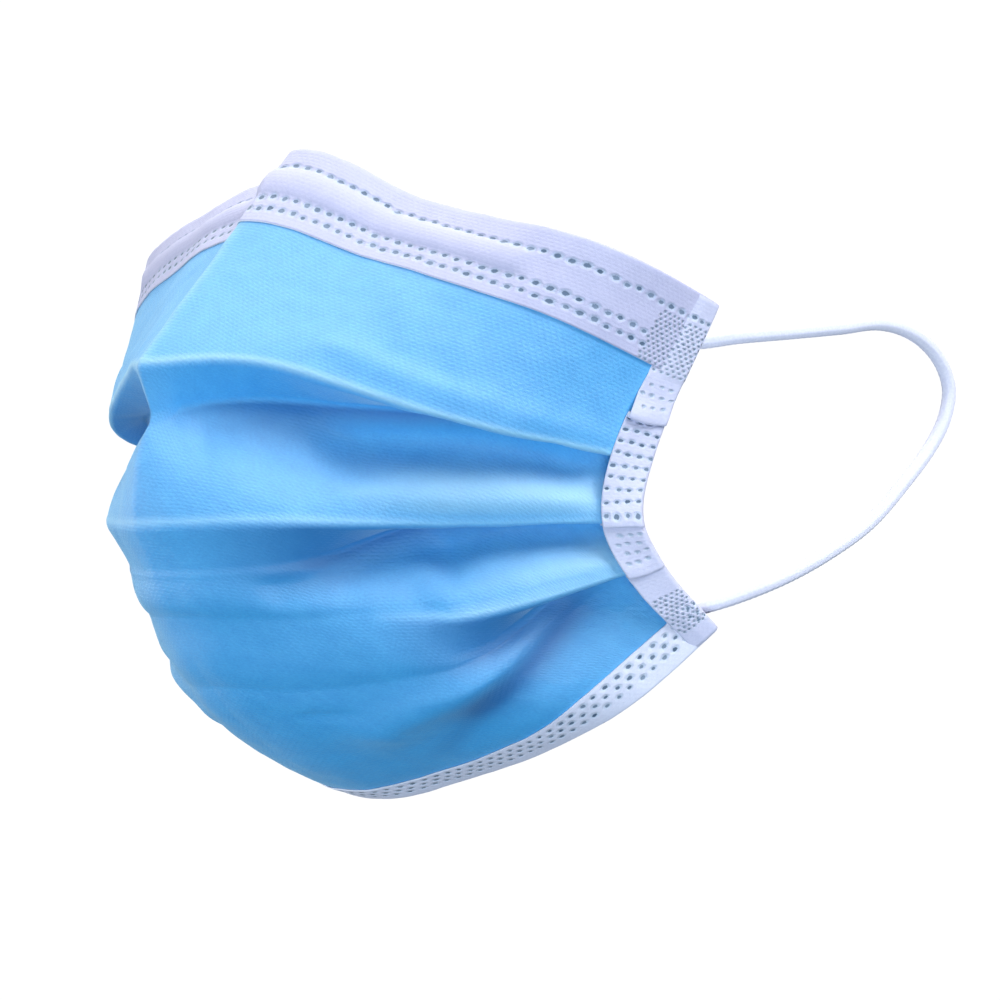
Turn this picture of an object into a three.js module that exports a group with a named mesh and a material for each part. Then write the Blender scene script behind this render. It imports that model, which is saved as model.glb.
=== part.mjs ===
// A pleated surgical face mask in its worn shape, in millimetres.
// +X is the wearer's left, +Y points back towards the face and +Z is up.
// The origin is the middle of the top edge, where the mask sits on the bridge of the nose.
import * as THREE from 'three';

// Worn size of the cloth body
const HALF_SPAN = 66;
const DROP = 119;
const DEPTH = 40;
const WALL = 1;
const CLEARANCE = 0.3;

// Pleats: cloth turned back under each fold, at the middle and at the side edges
const PLEAT_RETURN = 8;
const PLEAT_SIDE_RETURN = 3;
const PLEAT_GAP = 0.4;
const PLEAT_CLOSED_ANGLE = 175;

// Hems and bindings: how far each strip covers the front and the back
const TOP_HEM = 15;
const TOP_HEM_TURN = 6;
const BOTTOM_HEM = 7;
const BOTTOM_HEM_TURN = 5;
const BINDING = 6;
const BINDING_TURN = 6;

// Nose wire in its channel in the top hem
const WIRE_LENGTH = 104;
const WIRE_WIDTH = 4;
const WIRE_THICKNESS = 0.8;
const WIRE_DROP = 7;
const CHANNEL_SLOPE = 1;

// Ear loops: how much of each end is held behind the binding, where, and how far the cord runs on
// past the side edge before it turns
const LOOP_DIAMETER = 2.6;
const LOOP_SEAM = 5;
const LOOP_TOP_DROP = 8;
const LOOP_BOTTOM_RISE = 5.5;
const LOOP_LEAD = 2.5;

// Length of cloth from the middle to a side edge, which sets how sizes along the mask are shared out
const HALF_LENGTH = HALF_SPAN * 1.4;

// The five lines that the cloth hangs between. Each runs from the middle over the cheek and the
// jaw to the side edge. Outwards is a share of HALF_SPAN, back of DEPTH and down of DROP;
// crease is how steeply the line turns back at the middle, where the cloth is creased.
const LINES = [
  { name: 'top', crease: 0.35,
    out: [0, 0.423, 0.88, 0.993], back: [-0.03, 0.188, 0.4, 0.986], down: [0.008, 0.101, 0.172, 0.251] },
  { name: 'fold_1', crease: 0.75,
    out: [0, 0.255, 0.697, 0.94], back: [-0.895, -0.55, -0.146, 0.654], down: [0.338, 0.34, 0.424, 0.483] },
  { name: 'fold_2', crease: 0.42,
    out: [0, 0.353, 0.636, 0.951], back: [-0.924, -0.628, -0.03, 0.57], down: [0.571, 0.567, 0.573, 0.568] },
  { name: 'fold_3', crease: 0,
    out: [0, 0.34, 0.696, 0.956], back: [-0.676, -0.38, 0.075, 0.685], down: [0.724, 0.728, 0.697, 0.63] },
  { name: 'bottom', crease: 0,
    out: [0, 0.325, 0.785, 0.985], back: [0.43, 0.59, 0.66, 0.992], down: [1.003, 0.96, 0.86, 0.729] },
];

// The pleats turn from one half of the mask to the other over this share of its half length
const CREASE_EASE = 0.14;

// Where the four columns of LINES lie, as shares of the way from the middle to the side edge
const COLUMNS = [0, 0.34, 0.68, 1];

// The cloth between two lines: steps down it, and how far it swells at the middle as a share of DEPTH
const PANELS = [
  { steps: 6, swell: 0 },
  { steps: 4, swell: 0.02 },
  { steps: 3, swell: 0.01 },
  { steps: 8, swell: 0.1 },
];

// How far each pleat opens at the middle, in degrees away from the cloth above it
const PLEATS = [
  { openAngle: 60 },
  { openAngle: 41 },
  { openAngle: -8 },
];

const LAYER = WALL + CLEARANCE;
const PLEAT_LAYER = WALL + PLEAT_GAP;
const WIRE_END = WIRE_LENGTH / 2 / HALF_LENGTH;

// The pleats are fully closed where the bindings hold them
const CLOSED_SHARE = 1 - (BINDING + 1.5) / HALF_LENGTH;

// Stations from one side edge to the other, closer together at the middle
const HALF_STATIONS = 17;
const near = Array.from({ length: HALF_STATIONS + 1 }, (_, i) => (i / HALF_STATIONS) ** 1.35);
const channelEnds = [WIRE_END, WIRE_END + 1.5 / HALF_LENGTH, WIRE_END + 6 / HALF_LENGTH];
const halfStations = [...near.filter((s) => channelEnds.every((e) => Math.abs(s - e) > 0.012)), ...channelEnds]
  .sort((a, b) => a - b);
const stations = [...halfStations.slice(1).reverse().map((s) => -s), ...halfStations];

// A smooth value through four columns, with its slope at the middle given
function through(values, share, firstSlope) {
  const slopes = values.map((v, i) => {
    if (i === 0) return firstSlope;
    if (i < values.length - 1) return (values[i + 1] - values[i - 1]) / (COLUMNS[i + 1] - COLUMNS[i - 1]);
    return 0;
  });
  const last = values.length - 1;
  const lastRise = (values[last] - values[last - 1]) / (COLUMNS[last] - COLUMNS[last - 1]);
  slopes[last] = 1.5 * lastRise - 0.5 * slopes[last - 1];
  let i = 0;
  while (i < last - 1 && share > COLUMNS[i + 1]) i += 1;
  const width = COLUMNS[i + 1] - COLUMNS[i];
  const t = (share - COLUMNS[i]) / width;
  return (2 * t ** 3 - 3 * t ** 2 + 1) * values[i] + (t ** 3 - 2 * t ** 2 + t) * width * slopes[i]
    + (3 * t ** 2 - 2 * t ** 3) * values[i + 1] + (t ** 3 - t ** 2) * width * slopes[i + 1];
}

// The point of one line at a station, from -1 at one side edge to 1 at the other
function linePoint(line, station) {
  const share = Math.abs(station);
  const out = through(line.out, share, (line.out[1] / COLUMNS[1]) * 1.15);
  return new THREE.Vector3(
    Math.sign(station) * out * HALF_SPAN,
    through(line.back, share, line.crease) * DEPTH,
    -through(line.down, share, 0) * DROP,
  );
}

// The direction along a line towards +X, taken over a reach to either side
function lineTangent(line, station, reach = 0.004) {
  return linePoint(line, station + reach).sub(linePoint(line, station - reach)).normalize();
}

// The body's section at a station, from the top edge down to the bottom edge
function bodySection(station) {
  const share = Math.abs(station);
  const closing = Math.min(1, share / CLOSED_SHARE);
  const section = [];
  let start = linePoint(LINES[0], station);
  PANELS.forEach((panel, k) => {
    const end = linePoint(LINES[k + 1], station);
    const along = end.clone().sub(start).normalize();
    const reach = 0.004 + CREASE_EASE * (1 - share);
    const inward = lineTangent(LINES[k + 1], station, reach).cross(along).normalize();
    const swell = panel.swell * DEPTH * (1 - share ** 2);
    for (let j = 0; j <= panel.steps; j += 1) {
      const f = j / panel.steps;
      section.push(start.clone().lerp(end, f).addScaledVector(inward, -swell * 4 * f * (1 - f)));
    }
    if (k === PANELS.length - 1) return;
    const opened = PLEATS[k].openAngle;
    const angle = THREE.MathUtils.degToRad(opened + (PLEAT_CLOSED_ANGLE - opened) * closing ** 1.7);
    const length = PLEAT_RETURN + (PLEAT_SIDE_RETURN - PLEAT_RETURN) * closing ** 2.5;
    const turn = along.clone().multiplyScalar(Math.cos(angle / 2)).addScaledVector(inward, Math.sin(angle / 2));
    const back = along.clone().multiplyScalar(Math.cos(angle)).addScaledVector(inward, Math.sin(angle));
    const foldEnd = end.clone().addScaledVector(turn, PLEAT_LAYER);
    const crease = foldEnd.clone().addScaledVector(back, length);
    section.push(foldEnd, foldEnd.clone().lerp(crease, 0.5), crease);
    start = crease.clone().addScaledVector(turn, PLEAT_LAYER);
  });
  return section;
}

// A point on the body's middle surface a length from its top or bottom edge, with its outward normal
function bodyAt(station, length, fromBottom) {
  const place = (s) => {
    const section = bodySection(s);
    if (fromBottom) section.reverse();
    let left = length;
    let i = 0;
    while (i < section.length - 2 && left > section[i].distanceTo(section[i + 1])) {
      left -= section[i].distanceTo(section[i + 1]);
      i += 1;
    }
    const along = section[i + 1].clone().sub(section[i]).normalize();
    return { point: section[i].clone().addScaledVector(along, left), along };
  };
  const here = place(station);
  const tangent = place(station + 0.004).point.sub(place(station - 0.004).point);
  const down = fromBottom ? here.along.clone().negate() : here.along;
  return { point: here.point, normal: down.clone().cross(tangent).normalize() };
}

// A closed wall of even thickness about a grid of points, rows along +X and columns downwards
function wall(grid, thickness) {
  const rows = grid.length;
  const columns = grid[0].length;
  const vertices = [[], []];
  for (let i = 0; i < rows; i += 1) {
    for (let j = 0; j < columns; j += 1) {
      const across = grid[Math.min(i + 1, rows - 1)][j].clone().sub(grid[Math.max(i - 1, 0)][j]);
      const point = grid[i][j];
      const before = point.clone().sub(grid[i][Math.max(j - 1, 0)]);
      const after = grid[i][Math.min(j + 1, columns - 1)].clone().sub(point);
      const normals = [before, after].filter((d) => d.length() > 0).map((d) => d.cross(across).normalize());
      const normal = normals.reduce((a, b) => a.clone().add(b)).normalize();
      const mitre = 1 / Math.max(0.6, normal.dot(normals[0]));
      vertices[0].push(point.clone().addScaledVector(normal, (thickness / 2) * mitre));
      vertices[1].push(point.clone().addScaledVector(normal, (-thickness / 2) * mitre));
    }
  }
  const index = [];
  const at = (side, i, j) => side * rows * columns + i * columns + j;
  const quad = (a, b, c, d) => index.push(a, b, c, a, c, d);
  for (let i = 0; i < rows - 1; i += 1) {
    for (let j = 0; j < columns - 1; j += 1) {
      quad(at(0, i, j), at(0, i, j + 1), at(0, i + 1, j + 1), at(0, i + 1, j));
      quad(at(1, i, j), at(1, i + 1, j), at(1, i + 1, j + 1), at(1, i, j + 1));
    }
  }
  for (let i = 0; i < rows - 1; i += 1) {
    const last = columns - 1;
    quad(at(0, i, 0), at(0, i + 1, 0), at(1, i + 1, 0), at(1, i, 0));
    quad(at(0, i, last), at(1, i, last), at(1, i + 1, last), at(0, i + 1, last));
  }
  for (let j = 0; j < columns - 1; j += 1) {
    const last = rows - 1;
    quad(at(0, 0, j), at(1, 0, j), at(1, 0, j + 1), at(0, 0, j + 1));
    quad(at(0, last, j), at(0, last, j + 1), at(1, last, j + 1), at(1, last, j));
  }
  const geometry = new THREE.BufferGeometry().setFromPoints(vertices.flat());
  geometry.setIndex(index);
  geometry.computeVertexNormals();
  return geometry;
}

const mask = new THREE.Group();
mask.name = 'surgical_face_mask';

function addMesh(name, geometry, material) {
  const mesh = new THREE.Mesh(geometry, material);
  mesh.name = name;
  mask.add(mesh);
}

// Pleated face panel: one cloth wall from the top edge to the chin
addMesh('face_panel', wall(stations.map(bodySection), WALL),
  new THREE.MeshStandardMaterial({ color: 0x8cc8ee, roughness: 0.85, metalness: 0 }));

// Top hem: a strip folded over the top edge, raised in a channel over the nose wire
const channelHalf = WIRE_WIDTH / 2 + CLEARANCE * 2;
const channelRaise = WIRE_THICKNESS + CLEARANCE;
const TOP_HEM_SECTION = [
  { length: -TOP_HEM_TURN, side: -1, raised: 0 },
  { length: -1, side: -1, raised: 0 },
  { length: LAYER * 0.55, side: -0.75, raised: 0 },
  { length: LAYER, side: 0, raised: 0 },
  { length: LAYER * 0.55, side: 0.75, raised: 0 },
  { length: -1, side: 1, raised: 0 },
  { length: -(WIRE_DROP - channelHalf - CHANNEL_SLOPE), side: 1, raised: 0 },
  { length: -(WIRE_DROP - channelHalf), side: 1, raised: 1 },
  { length: -WIRE_DROP, side: 1, raised: 1 },
  { length: -(WIRE_DROP + channelHalf), side: 1, raised: 1 },
  { length: -(WIRE_DROP + channelHalf + CHANNEL_SLOPE), side: 1, raised: 0 },
  { length: -TOP_HEM, side: 1, raised: 0 },
];
const channelAt = (station) => {
  const past = (Math.abs(station) - WIRE_END) * HALF_LENGTH;
  return THREE.MathUtils.clamp((6 - past) / 4.5, 0, 1);
};
const topHem = stations.map((station) => TOP_HEM_SECTION.map((row) => {
  const body = bodyAt(station, -row.length, false);
  return body.point.addScaledVector(body.normal, row.side * LAYER + row.raised * channelRaise * channelAt(station));
}));
addMesh('top_hem', wall(topHem, WALL),
  new THREE.MeshStandardMaterial({ color: 0xe3e4f6, roughness: 0.8, metalness: 0 }));

// Bottom hem: a narrower strip folded under the bottom edge
const BOTTOM_HEM_SECTION = [
  { length: BOTTOM_HEM, side: 1 },
  { length: BOTTOM_HEM / 2, side: 1 },
  { length: 1, side: 1 },
  { length: -LAYER * 0.55, side: 0.75 },
  { length: -LAYER, side: 0 },
  { length: -LAYER * 0.55, side: -0.75 },
  { length: 1, side: -1 },
  { length: BOTTOM_HEM_TURN, side: -1 },
];
const bottomHem = stations.map((station) => BOTTOM_HEM_SECTION.map((row) => {
  const body = bodyAt(station, row.length, true);
  return body.point.addScaledVector(body.normal, row.side * LAYER);
}));
addMesh('bottom_hem', wall(bottomHem, WALL),
  new THREE.MeshStandardMaterial({ color: 0xe3e4f6, roughness: 0.8, metalness: 0 }));

// Nose wire: a flat strip between the top hem's front and the face panel
const wireStations = stations.filter((s) => Math.abs(s) <= WIRE_END + 1e-9);
const wire = wireStations.map((station) => [-0.5, 0.5].map((half) => {
  const body = bodyAt(station, WIRE_DROP + half * WIRE_WIDTH, false);
  return body.point.addScaledVector(body.normal, WALL / 2 + CLEARANCE + WIRE_THICKNESS / 2);
}));
addMesh('nose_wire', wall(wire, WIRE_THICKNESS),
  new THREE.MeshStandardMaterial({ color: 0xf0f0f4, roughness: 0.5, metalness: 0 }));

// Side bindings: a strip folded round each side edge, over the ends of the hems and the closed pleats.
// from names the line that a row lies by, with its length below that line. front and back are the
// middle of the strip's two faces, measured from the body's middle surface.
const overHem = 2 * LAYER;
const overStack = 2 * PLEAT_LAYER + WALL + 4 * CLEARANCE;
const overLeaningStack = overStack + 0.35 * PLEAT_SIDE_RETURN;
const BINDING_ROWS = [
  { from: 0, below: -(LAYER + WALL / 2), front: overHem, back: overHem },
  { from: 0, below: TOP_HEM + 0.5, front: overHem, back: overHem },
  { from: 0, below: TOP_HEM + 3, front: LAYER, back: overHem },
  { from: 1, below: -PLEAT_SIDE_RETURN - 5, front: LAYER, back: overStack },
  { from: 1, below: 0, front: LAYER, back: overStack },
  { from: 2, below: 0, front: LAYER, back: overLeaningStack },
  { from: 3, below: 0, front: LAYER, back: overLeaningStack },
  { from: 4, below: -BOTTOM_HEM - 3, front: LAYER, back: overStack },
  { from: 4, below: -BOTTOM_HEM - 0.5, front: overHem, back: overStack },
  { from: 4, below: LAYER + WALL / 2, front: overHem, back: overHem },
];

// The smooth cover over the folds at a station: a point by a line, the way down it and its normal
function coverAt(station, row) {
  const lines = LINES.map((line) => linePoint(line, station));
  const first = row.below < 0 && row.from > 0 ? row.from - 1 : Math.min(row.from, LINES.length - 2);
  const down = lines[first + 1].clone().sub(lines[first]).normalize();
  const tangent = lineTangent(LINES[row.from], station);
  const normals = [down.clone().cross(tangent).normalize()];
  if (row.below === 0 && row.from > 0 && row.from < LINES.length - 1) {
    const above = lines[row.from].clone().sub(lines[row.from - 1]).normalize();
    normals.push(above.cross(tangent).normalize());
  }
  const normal = normals.reduce((a, b) => a.clone().add(b)).normalize();
  return { point: lines[row.from].clone().addScaledVector(down, row.below), normal, tangent };
}

// One binding's section at a row: front flap, turn round the edge, and back flap
function bindingSection(side, row) {
  const inner = 1 - BINDING / HALF_LENGTH;
  const backInner = 1 - BINDING_TURN / HALF_LENGTH;
  const at = (share, past, height) => {
    const cover = coverAt(side * share, row);
    return cover.point.addScaledVector(cover.normal, height).addScaledVector(cover.tangent, side * past);
  };
  const turn = LAYER + 2 * CLEARANCE;
  const corner = LAYER * 0.5;
  const section = [
    at(inner, 0, row.front),
    at((inner + 1) / 2, 0, row.front),
    at(1, turn - corner, row.front),
    at(1, turn, row.front - corner),
    at(1, turn, corner - row.back),
    at(1, turn - corner, -row.back),
    at((backInner + 1) / 2, 0, -row.back),
    at(backInner, 0, -row.back),
  ];
  return side > 0 ? section : section.reverse();
}

// A wall's rows run along +X and its columns downwards, so each binding is built column by column
function binding(side) {
  const sections = BINDING_ROWS.map((row) => bindingSection(side, row));
  const grid = sections[0].map((_, i) => sections.map((section) => section[i]));
  return wall(grid, WALL);
}
for (const [name, side] of [['side_binding_left', 1], ['side_binding_right', -1]]) {
  addMesh(name, binding(side), new THREE.MeshStandardMaterial({ color: 0xe0e1f5, roughness: 0.8, metalness: 0 }));
}

// Ear loops: a round elastic cord from behind the top corner, round the ear, to behind the bottom corner
const LOOP_POINTS = [
  { out: 66.2, back: 45.6, down: 36.1 },
  { out: 70.8, back: 53.6, down: 34.7 },
  { out: 74.5, back: 63.4, down: 33.2 },
  { out: 76.5, back: 72.5, down: 32.1 },
  { out: 77.8, back: 79.8, down: 33.4 },
  { out: 78.3, back: 85.9, down: 36.4 },
  { out: 78.5, back: 89.7, down: 40.3 },
  { out: 78.5, back: 91, down: 44 },
  { out: 78.2, back: 89.8, down: 49.2 },
  { out: 77.5, back: 86.4, down: 54.4 },
  { out: 76.5, back: 80.1, down: 60.7 },
  { out: 75, back: 71.6, down: 68 },
  { out: 73, back: 62.4, down: 73.3 },
  { out: 70, back: 53.3, down: 77.3 },
  { out: 66, back: 47.2, down: 80 },
];

function loopRoute(side) {
  const rows = [
    { from: 0, below: LOOP_TOP_DROP, back: overHem },
    { from: 4, below: -LOOP_BOTTOM_RISE, back: overStack },
  ];
  const behind = (row, past) => {
    const cover = coverAt(side, row);
    return cover.point
      .addScaledVector(cover.normal, -(row.back + WALL / 2 + 2 * CLEARANCE + LOOP_DIAMETER / 2))
      .addScaledVector(cover.tangent, side * past);
  };
  const middle = LOOP_POINTS.map((p) => new THREE.Vector3(side * p.out, p.back, -p.down));
  return [
    behind(rows[0], -LOOP_SEAM), behind(rows[0], LOOP_LEAD), ...middle,
    behind(rows[1], LOOP_LEAD), behind(rows[1], -LOOP_SEAM),
  ];
}

function roundSection(diameter, sides) {
  const corners = Array.from({ length: sides }, (_, i) => {
    const angle = (i / sides) * 2 * Math.PI;
    return new THREE.Vector2(Math.cos(angle), Math.sin(angle)).multiplyScalar(diameter / 2);
  });
  return new THREE.Shape(corners);
}

for (const [name, side] of [['ear_loop_left', 1], ['ear_loop_right', -1]]) {
  const route = new THREE.CatmullRomCurve3(loopRoute(side), false, 'centripetal');
  const cord = new THREE.ExtrudeGeometry(roundSection(LOOP_DIAMETER, 8), { extrudePath: route, steps: 56 });
  addMesh(name, cord, new THREE.MeshStandardMaterial({ color: 0xe6e6f6, roughness: 0.9, metalness: 0 }));
}

export default mask;
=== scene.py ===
import math
from functools import partial

import bmesh
import bpy
import numpy as np
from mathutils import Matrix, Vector, noise


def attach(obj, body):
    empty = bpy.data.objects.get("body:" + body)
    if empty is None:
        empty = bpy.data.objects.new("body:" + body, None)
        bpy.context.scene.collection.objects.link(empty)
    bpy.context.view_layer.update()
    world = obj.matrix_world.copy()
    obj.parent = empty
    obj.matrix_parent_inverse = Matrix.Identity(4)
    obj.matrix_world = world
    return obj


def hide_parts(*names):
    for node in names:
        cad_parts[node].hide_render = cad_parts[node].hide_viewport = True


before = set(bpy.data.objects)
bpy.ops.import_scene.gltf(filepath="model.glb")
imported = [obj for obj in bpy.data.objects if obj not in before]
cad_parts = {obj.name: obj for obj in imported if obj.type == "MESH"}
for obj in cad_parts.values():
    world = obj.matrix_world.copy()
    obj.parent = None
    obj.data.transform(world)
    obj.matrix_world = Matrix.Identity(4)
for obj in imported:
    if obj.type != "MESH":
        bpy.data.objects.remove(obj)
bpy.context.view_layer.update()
bpy.ops.object.select_all(action="DESELECT")
MM = 0.001

# Camera: level with the middle of the mask, 45 degrees round to the wearer's left, and as far off
# as the photograph was taken. The nose end of the top edge lands on its own pixel.
CAMERA_AZIMUTH = math.radians(45)
CAMERA_DISTANCE = 0.48
PIXELS_PER_METRE = 5500
IMAGE_WIDTH = 1000
NOSE_PIXEL = (298, 148)
screen_right = Vector((math.cos(CAMERA_AZIMUTH), math.sin(CAMERA_AZIMUTH), 0))
away = Vector((-math.sin(CAMERA_AZIMUTH), math.cos(CAMERA_AZIMUTH), 0))
aim = (screen_right * (IMAGE_WIDTH / 2 - NOSE_PIXEL[0])
       - Vector((0, 0, 1)) * (IMAGE_WIDTH / 2 - NOSE_PIXEL[1])) / PIXELS_PER_METRE
camera_data = bpy.data.cameras.new("camera")
camera = bpy.data.objects.new("camera", camera_data)
bpy.context.scene.collection.objects.link(camera)
camera.location = aim - away * CAMERA_DISTANCE
camera.rotation_euler = away.to_track_quat("-Z", "Y").to_euler()
camera_data.angle = 2 * math.atan(IMAGE_WIDTH / PIXELS_PER_METRE / 2 / CAMERA_DISTANCE)
camera_data.clip_start = 0.01
bpy.context.scene.camera = camera


# Ear loops: soft round cords of knitted elastic, 2.6 mm across, welded behind the top and bottom
# corners of the mask. Each runs back round the ear, and is drawn out into a rounded loop.
LOOP_DIAMETER = 2.6 * MM
LOOP_ROUTE = [
    (0.0593, 0.0318, -0.0345), (0.0600, 0.0389, -0.0362), (0.0662, 0.0456, -0.0352),
    (0.0708, 0.0536, -0.0343), (0.0745, 0.0634, -0.0332), (0.0765, 0.0725, -0.0321),
    (0.0778, 0.0798, -0.0334), (0.0783, 0.0859, -0.0364), (0.0785, 0.0897, -0.0403),
    (0.0785, 0.0910, -0.0440), (0.0782, 0.0898, -0.0492), (0.0775, 0.0864, -0.0544),
    (0.0765, 0.0801, -0.0607), (0.0750, 0.0716, -0.0680), (0.0730, 0.0624, -0.0733),
    (0.0700, 0.0533, -0.0777), (0.0655, 0.0448, -0.0812), (0.0602, 0.0388, -0.0836),
    (0.0562, 0.0346, -0.0858),
]
LOOP_SIDES = 24
LOOP_WALES = 8
LOOP_STITCH = 1.1 * MM
LOOP_RELIEF = 0.09 * MM
LOOP_STEP = 0.4 * MM
ROUTE_SAMPLES = 40
UV_PER_METRE = 10


def smooth_route(points):
    """A centripetal curve through the points, sampled evenly, and its length."""
    p = [np.array(q, float) for q in points]
    p = [2 * p[0] - p[1]] + p + [2 * p[-1] - p[-2]]
    samples = []
    for a, b, c, d in zip(p, p[1:], p[2:], p[3:]):
        ta = 0.0
        tb = ta + np.linalg.norm(b - a) ** 0.5
        tc = tb + np.linalg.norm(c - b) ** 0.5
        td = tc + np.linalg.norm(d - c) ** 0.5
        for t in np.linspace(tb, tc, ROUTE_SAMPLES, endpoint=False):
            ab = (tb - t) / (tb - ta) * a + (t - ta) / (tb - ta) * b
            bc = (tc - t) / (tc - tb) * b + (t - tb) / (tc - tb) * c
            cd = (td - t) / (td - tc) * c + (t - tc) / (td - tc) * d
            abc = (tc - t) / (tc - ta) * ab + (t - ta) / (tc - ta) * bc
            bcd = (td - t) / (td - tb) * bc + (t - tb) / (td - tb) * cd
            samples.append((tc - t) / (tc - tb) * abc + (t - tb) / (tc - tb) * bcd)
    samples.append(p[-2])
    samples = np.array(samples)
    run = np.concatenate([[0], np.cumsum(np.linalg.norm(np.diff(samples, axis=0), axis=1))])
    even = np.linspace(0, run[-1], int(run[-1] / LOOP_STEP))
    return np.stack([np.interp(even, run, samples[:, k]) for k in range(3)], axis=1), run[-1]


def mesh_object(name, vertices, faces, uv=None):
    """A new object at the origin whose mesh has the given faces, with one uv pair for each vertex."""
    mesh = bpy.data.meshes.new(name)
    mesh.from_pydata([tuple(v) for v in vertices], [], faces)
    if uv is not None:
        layer = mesh.uv_layers.new(name="cloth")
        corners = np.empty(len(mesh.loops), int)
        mesh.loops.foreach_get("vertex_index", corners)
        layer.data.foreach_set("uv", np.asarray(uv, np.float32)[corners].ravel())
    mesh.polygons.foreach_set("use_smooth", [True] * len(mesh.polygons))
    mesh.update()
    obj = bpy.data.objects.new(name, mesh)
    bpy.context.scene.collection.objects.link(obj)
    return obj


def principled(name, colour, roughness):
    """A new material, its Principled shader and its node tree."""
    material = bpy.data.materials.new(name)
    material.use_nodes = True
    shader = material.node_tree.nodes["Principled BSDF"]
    shader.inputs["Base Color"].default_value = (*colour, 1)
    shader.inputs["Roughness"].default_value = roughness
    return material, shader, material.node_tree


def add_node(tree, kind, links=None, **settings):
    """A new node with its settings; links gives each input a socket or a plain value."""
    node = tree.nodes.new(kind)
    for key, value in settings.items():
        setattr(node, key, value)
    for key, value in (links or {}).items():
        if isinstance(value, bpy.types.NodeSocket):
            tree.links.new(value, node.inputs[key])
        else:
            node.inputs[key].default_value = value
    return node


def mixed(tree, share, low, high):
    """One tone mixed into another by a share. Each tone is a colour or a socket."""
    return add_node(tree, "ShaderNodeMix", {0: share, 6: low, 7: high}, data_type="RGBA").outputs[2]


def add_bump(tree, shader, height, strength, distance, **settings):
    """Bumps a shader's surface by a height, on top of any bump that it has."""
    bump = add_node(tree, "ShaderNodeBump", {"Height": height, "Strength": strength, "Distance": distance},
                    **settings)
    for link in shader.inputs["Normal"].links:
        tree.links.new(link.from_socket, bump.inputs["Normal"])
    tree.links.new(bump.outputs["Normal"], shader.inputs["Normal"])


loop_material, loop_shader, loop_tree = principled("knitted_elastic", (0.86, 0.86, 0.96), 0.9)
loop_shader.inputs["Sheen Weight"].default_value = 0.35
loop_shader.inputs["Sheen Roughness"].default_value = 0.5
loop_shader.inputs["Specular IOR Level"].default_value = 0.25
loop_place = add_node(loop_tree, "ShaderNodeTexCoord").outputs["Object"]
loop_fuzz = add_node(loop_tree, "ShaderNodeTexNoise",
                     {"Vector": loop_place, "Scale": 2600.0, "Detail": 3.0})
add_bump(loop_tree, loop_shader, loop_fuzz.outputs["Fac"], 0.5, 0.1 * MM)
loop_tone = mixed(loop_tree, loop_fuzz.outputs["Fac"], (0.62, 0.64, 0.84, 1), (0.83, 0.85, 0.96, 1))
loop_tree.links.new(loop_tone, loop_shader.inputs["Base Color"])

for side_name, side in (("left", 1), ("right", -1)):
    path, loop_length = smooth_route([(side * x, y, z) for x, y, z in LOOP_ROUTE])
    tangents = np.gradient(path, axis=0)
    tangents /= np.linalg.norm(tangents, axis=1)[:, None]
    across = np.cross(tangents[0], (0, 0, 1.0))
    vertices = []
    cord_uv = []
    for i, (centre, tangent) in enumerate(zip(path, tangents)):
        across = across - tangent * across.dot(tangent)
        across /= np.linalg.norm(across)
        upward = np.cross(tangent, across)
        for j in range(LOOP_SIDES):
            turn = 2 * math.pi * j / LOOP_SIDES
            wale = math.floor(LOOP_WALES * j / LOOP_SIDES) % 2
            rib = abs(math.sin(LOOP_WALES * turn / 2))
            stitch = math.sin(2 * math.pi * (i * LOOP_STEP / LOOP_STITCH + 0.5 * wale))
            radius = LOOP_DIAMETER / 2 - LOOP_RELIEF + LOOP_RELIEF * (rib + 0.5 * stitch * rib)
            vertices.append(centre + radius * (math.cos(turn) * across + math.sin(turn) * upward))
            cord_uv.append((i * LOOP_STEP * UV_PER_METRE, j / LOOP_SIDES))
    faces = [(i * LOOP_SIDES + j, i * LOOP_SIDES + (j + 1) % LOOP_SIDES,
              (i + 1) * LOOP_SIDES + (j + 1) % LOOP_SIDES, (i + 1) * LOOP_SIDES + j)
             for i in range(len(path) - 1) for j in range(LOOP_SIDES)]
    faces.append(tuple(range(LOOP_SIDES))[::-1])
    faces.append(tuple(range((len(path) - 1) * LOOP_SIDES, len(path) * LOOP_SIDES)))
    loop = mesh_object(f"knitted_loop_{side_name}", vertices, faces, cord_uv)
    shell = bmesh.new()
    shell.from_mesh(loop.data)
    bmesh.ops.recalc_face_normals(shell, faces=shell.faces)
    shell.to_mesh(loop.data)
    shell.free()
    loop.data.materials.append(loop_material)
    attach(loop, "root")
    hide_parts(f"ear_loop_{side_name}")


# Face panel: three thin plies of spunbond cloth, blue outside and white inside, folded into three
# pleats that are held flat at the sides and open over the nose and chin.
HALF_SPAN = 66 * MM
DROP = 119 * MM
DEPTH = 40 * MM
HALF_LENGTH = 92 * MM
CLOTH = 0.26 * MM
PLEAT_RETURN = 8 * MM
PLEAT_SIDE_RETURN = 3 * MM
PLEAT_LAYER = 1.2 * MM
CLOSED_SHARE = 0.92
CREASE_EASE = 0.14
CLOSED_ANGLE = 175
RETURN_EASE = 2.5
TANGENT_REACH = 0.004
CORNER_SHARE = 0.48
PANEL_STATIONS = 233
COLUMNS = np.array([0, 0.34, 0.68, 1])
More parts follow.
